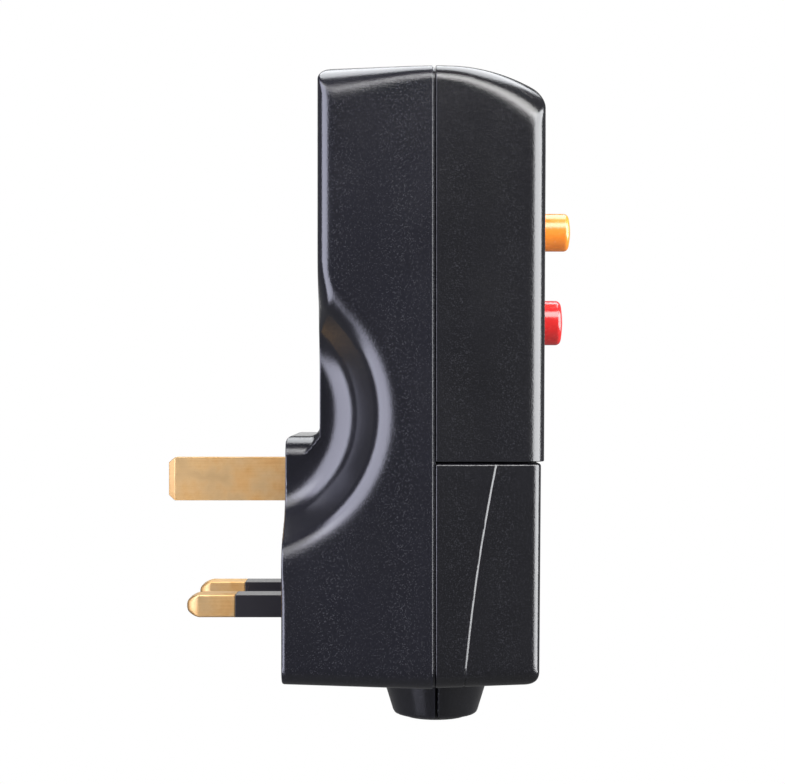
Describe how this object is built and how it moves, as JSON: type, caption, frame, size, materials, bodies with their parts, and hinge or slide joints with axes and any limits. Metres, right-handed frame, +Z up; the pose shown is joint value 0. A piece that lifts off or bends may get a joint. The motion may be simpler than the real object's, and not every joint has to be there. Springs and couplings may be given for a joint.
{
  "type": "rewirable rcd plug",
  "caption": "Black three-pin plug with a built-in residual current switch: side finger scoops, round test and reset buttons, a wiring cover and a cable outlet at its foot.",
  "frame": {"origin": "midpoint between the live and neutral pins on the pin face", "axes": "+X from the pin face to the front with the buttons, +Z up towards the earth pin and the top, +Y across the case with the live pin at +Y"},
  "size_m": [0.0749, 0.062, 0.1164],
  "materials": {
    "black_case": "fine spark-eroded matte",
    "black_front": "fine satin",
    "bush_rubber": "matte",
    "pin_brass": "drawn and bevelled",
    "sleeve_black": "moulded satin",
    "insulator": "moulded",
    "screw_steel": "zinc plated",
    "strip_copper": "stamped strip",
    "terminal_brass": "machined",
    "fuse_body": "unglazed",
    "fuse_cap": "nickel plated",
    "contact_silver": "riveted tip",
    "magnet_iron": "bright soft iron",
    "copper_wire": "enamelled wire",
    "bobbin": "moulded",
    "carrier": "moulded",
    "spring_steel": "drawn wire",
    "reset_red": "polished",
    "test_orange": "polished",
    "spring_brass": "rolled strip",
    "ferrite": "sintered",
    "board_green": "lacquered laminate",
    "chip_black": "moulded",
    "capacitor_blue": "sleeved can",
    "film_yellow": "dipped box",
    "varistor_blue": "dipped disc",
    "resistor_tan": "dipped",
    "wire_brown": "insulated",
    "wire_blue": "insulated"
  },
  "bodies": {
    "case": {"rear_housing": "black_case", "front_housing": "black_front", "cable_bush": "bush_rubber", "earth_pin": "pin_brass", "live_pin": "pin_brass", "neutral_pin": "pin_brass", "live_pin_sleeve": "sleeve_black", "neutral_pin_sleeve": "sleeve_black", "pin_retainer": "insulator", "upper_case_screws": "screw_steel", "lower_case_screws": "screw_steel", "cord_grip": "insulator", "cord_grip_screws": "screw_steel", "fuse_tube": "fuse_body", "fuse_caps": "fuse_cap", "live_pin_link": "strip_copper", "live_feed_link": "strip_copper", "neutral_feed_link": "strip_copper", "live_terminal": "terminal_brass", "neutral_terminal": "terminal_brass", "terminal_screws": "screw_steel", "live_output_contact": "strip_copper", "neutral_output_contact": "strip_copper", "live_output_wire": "wire_brown", "neutral_output_wire": "wire_blue", "contact_block": "insulator", "fixed_contact_tips": "contact_silver", "magnet_yoke": "magnet_iron", "coil_bobbin": "bobbin", "coil_winding": "copper_wire", "opening_springs": "spring_steel", "test_leaf": "spring_brass", "test_post": "terminal_brass", "sense_core": "ferrite", "sense_winding": "copper_wire", "circuit_board": "board_green", "control_chip": "chip_black", "smoothing_capacitor": "capacitor_blue", "film_capacitor": "film_yellow", "surge_varistor": "varistor_blue", "resistors": "resistor_tan", "diodes": "chip_black", "thyristor": "chip_black"},
    "test_button": {"test_button": "test_orange"},
    "reset_button": {"reset_button": "reset_red"},
    "contact_carrier": {"contact_carrier": "carrier", "armature": "magnet_iron", "contact_bridges": "strip_copper", "bridge_contact_tips": "contact_silver"},
    "wiring_cover": {"wiring_cover": "black_front", "cover_screw": "screw_steel"}
  },
  "joints": [
    {"name": "test_press", "type": "slide", "parent": "case", "child": "test_button", "axis": [-1, 0, 0], "range_m": [0, 0.002], "stiffness_N_per_m": 400, "deforming": ["test_leaf"]},
    {"name": "reset_press", "type": "slide", "parent": "case", "child": "reset_button", "axis": [-1, 0, 0], "range_m": [0, 0.003], "stiffness_N_per_m": 500},
    {"name": "carrier_travel", "type": "slide", "parent": "case", "child": "contact_carrier", "axis": [-1, 0, 0], "range_m": [0, 0.003], "stiffness_N_per_m": 300, "deforming": ["opening_springs"]},
    {"name": "cover_lift", "type": "slide", "parent": "case", "child": "wiring_cover", "axis": [1, 0, 0], "range_m": [0, 0.045]}
  ],
  "couplings": [
    {"joint": "carrier_travel", "follows": "reset_press", "ratio": 1}
  ]
}
